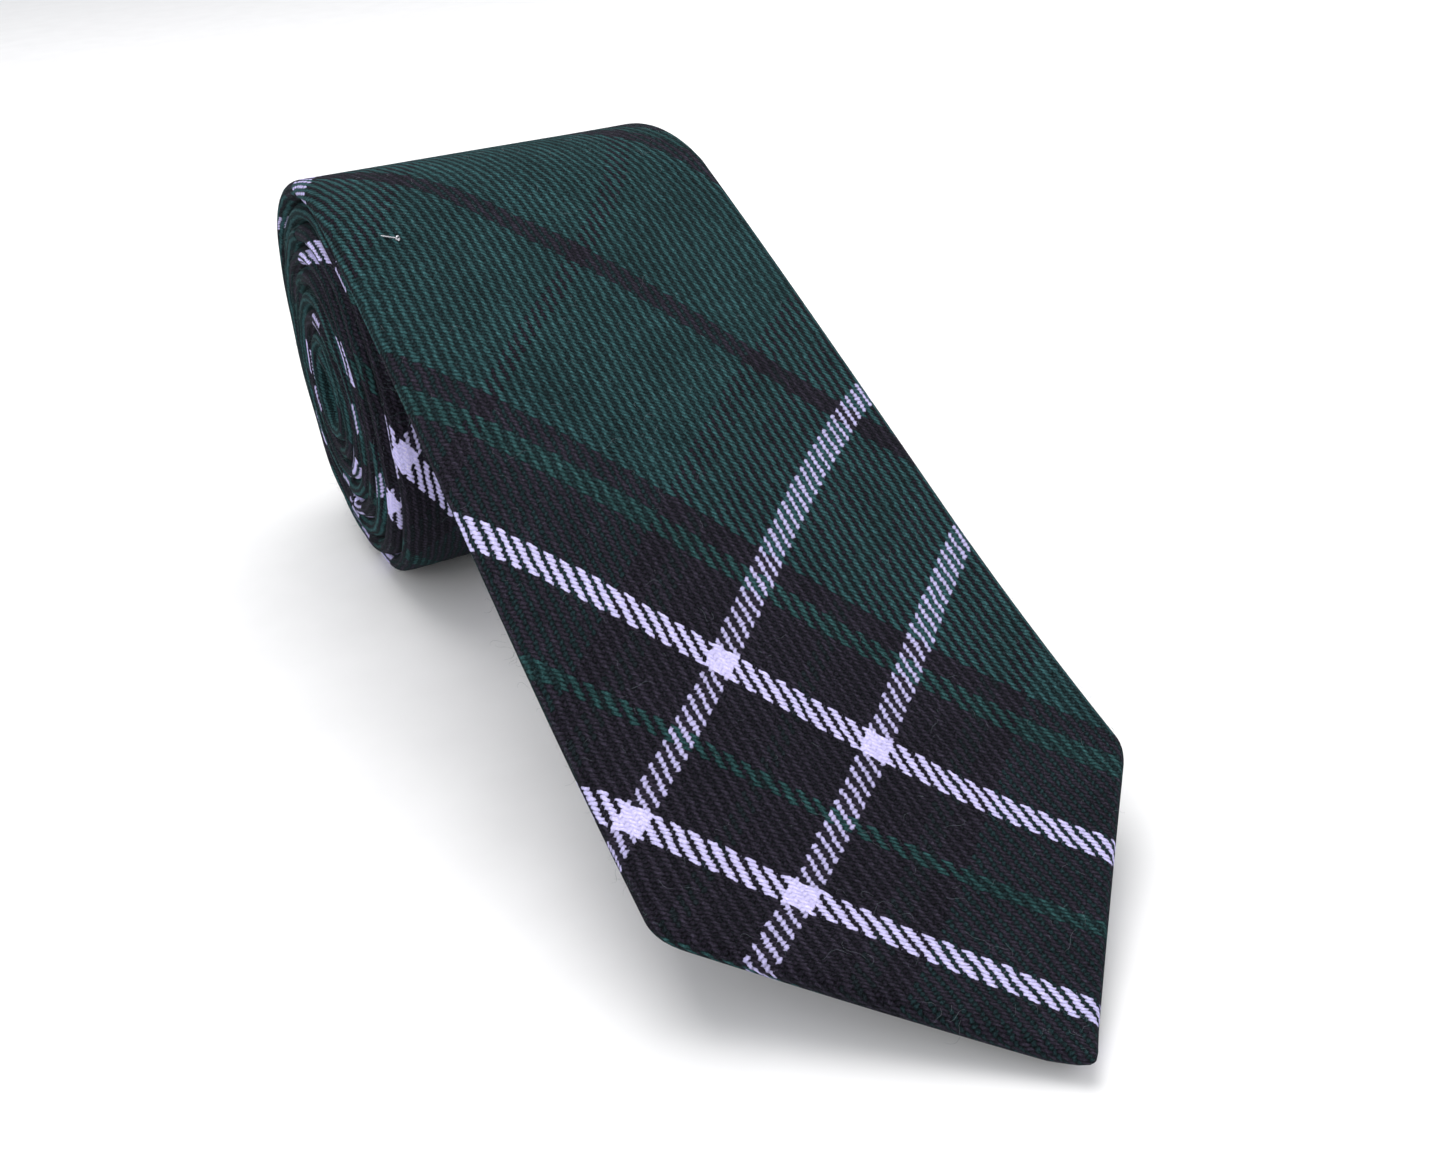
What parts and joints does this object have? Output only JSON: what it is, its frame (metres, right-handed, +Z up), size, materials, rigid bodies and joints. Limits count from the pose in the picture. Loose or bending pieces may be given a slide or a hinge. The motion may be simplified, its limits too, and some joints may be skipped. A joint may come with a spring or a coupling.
{
  "type": "rolled necktie",
  "caption": "Woollen tartan necktie rolled up from its narrow end and pinned, with its pointed front blade left free to slope down to the table.",
  "frame": {"origin": "on the surface that the tie rests on, on the lowest face of the roll, in line with the middle of the free blade", "axes": "+X across the tie, along the roll's axis, to the right of a viewer who faces the blade's point; -Y towards the blade's point; +Z up"},
  "size_m": [0.0847, 0.2406, 0.0845],
  "materials": {
    "tartan_wool": "coarse fuzzy woollen twill in dark green and black with white double lines",
    "interlining_canvas": "unbleached brushed canvas",
    "tipping_lining": "smooth black lining",
    "label_satin": "blank dark satin ribbon",
    "care_label_satin": "blank white satin tape",
    "sewing_thread": "twisted dark green thread",
    "pin_steel": "bright nickelled steel wire"
  },
  "bodies": {
    "roll": {"front_roll_shell": "tartan_wool", "neck_shell": "tartan_wool", "tail_shell": "tartan_wool", "front_roll_interlining": "interlining_canvas", "tail_interlining": "interlining_canvas", "tail_tipping": "tipping_lining", "rolled_slip_stitch": "sewing_thread", "tail_bar_tack": "sewing_thread", "front_neck_seam": "sewing_thread", "neck_tail_seam": "sewing_thread"},
    "front_blade": {"front_blade_shell": "tartan_wool", "front_blade_interlining": "interlining_canvas", "front_tipping": "tipping_lining", "front_slip_stitch": "sewing_thread", "front_bar_tack": "sewing_thread", "keeper_loop": "tartan_wool", "keeper_tack_left": "sewing_thread", "keeper_tack_right": "sewing_thread", "maker_label": "label_satin", "maker_label_stitch": "sewing_thread", "care_label": "care_label_satin", "care_label_stitch": "sewing_thread"},
    "pin": {"pin_shaft": "pin_steel", "pin_head": "pin_steel"}
  },
  "joints": [
    {"name": "blade_lift", "type": "hinge", "parent": "roll", "child": "front_blade", "pos_m": [0, -0.0362, 0.07286], "axis": [-1, 0, 0], "range_deg": [0, 35]},
    {"name": "pin_slide", "type": "slide", "parent": "roll", "child": "pin", "axis": [0.5464, -0.8374, -0.0133], "range_m": [0, 0.016]}
  ]
}
